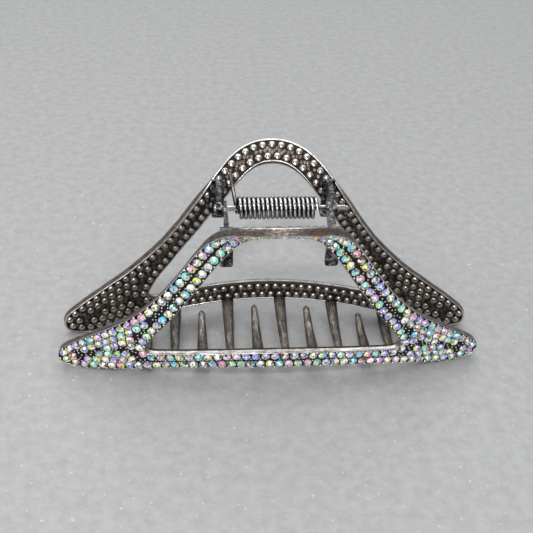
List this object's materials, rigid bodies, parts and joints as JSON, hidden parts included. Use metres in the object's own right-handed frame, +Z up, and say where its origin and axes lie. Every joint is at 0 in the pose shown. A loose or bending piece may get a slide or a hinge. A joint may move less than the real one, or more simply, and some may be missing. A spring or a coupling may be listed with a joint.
{
  "type": "hair claw clip",
  "caption": "Sprung claw hair clip with bowed triangular open jaws, curved interleaving teeth, a hinge pin with a coil spring, and faceted stones set over the outer faces.",
  "frame": {"origin": "on the surface the clip stands on, under the middle of the hinge pin", "axes": "+X along the hinge pin and the width of the clip, +Y from the front jaw to the back jaw, +Z up from the corner tips to the handles"},
  "size_m": [0.0946, 0.036, 0.0446],
  "materials": {
    "casting": "antique silver plated zinc casting, black patina in the recesses, worn bright on the edges",
    "bracket": "dull plated steel",
    "spring_steel": "bright drawn steel wire",
    "stone": "faceted crystal with an iridescent coating, foil backed"
  },
  "bodies": {
    "back_jaw": {"back_jaw_casting": "casting", "back_teeth": "casting", "back_left_hinge_bracket": "bracket", "back_right_hinge_bracket": "bracket", "back_bar_stones": "stone", "back_left_corner_stones": "stone", "back_right_corner_stones": "stone", "back_left_leg_stones": "stone", "back_right_leg_stones": "stone", "back_handle_stones": "stone", "hinge_pin": "spring_steel", "torsion_spring": "spring_steel"},
    "front_jaw": {"front_jaw_casting": "casting", "front_teeth": "casting", "front_left_hinge_bracket": "bracket", "front_right_hinge_bracket": "bracket", "front_bar_stones": "stone", "front_left_corner_stones": "stone", "front_right_corner_stones": "stone", "front_left_leg_stones": "stone", "front_right_leg_stones": "stone", "front_handle_stones": "stone"}
  },
  "joints": [
    {"name": "jaw_hinge", "type": "hinge", "parent": "back_jaw", "child": "front_jaw", "pos_m": [0, 0, 0.03772], "axis": [-1, 0, 0], "range_deg": [0, 90], "stiffness_Nm_per_rad": 0.023, "springref_deg": -80.21, "deforming": ["torsion_spring"]}
  ]
}
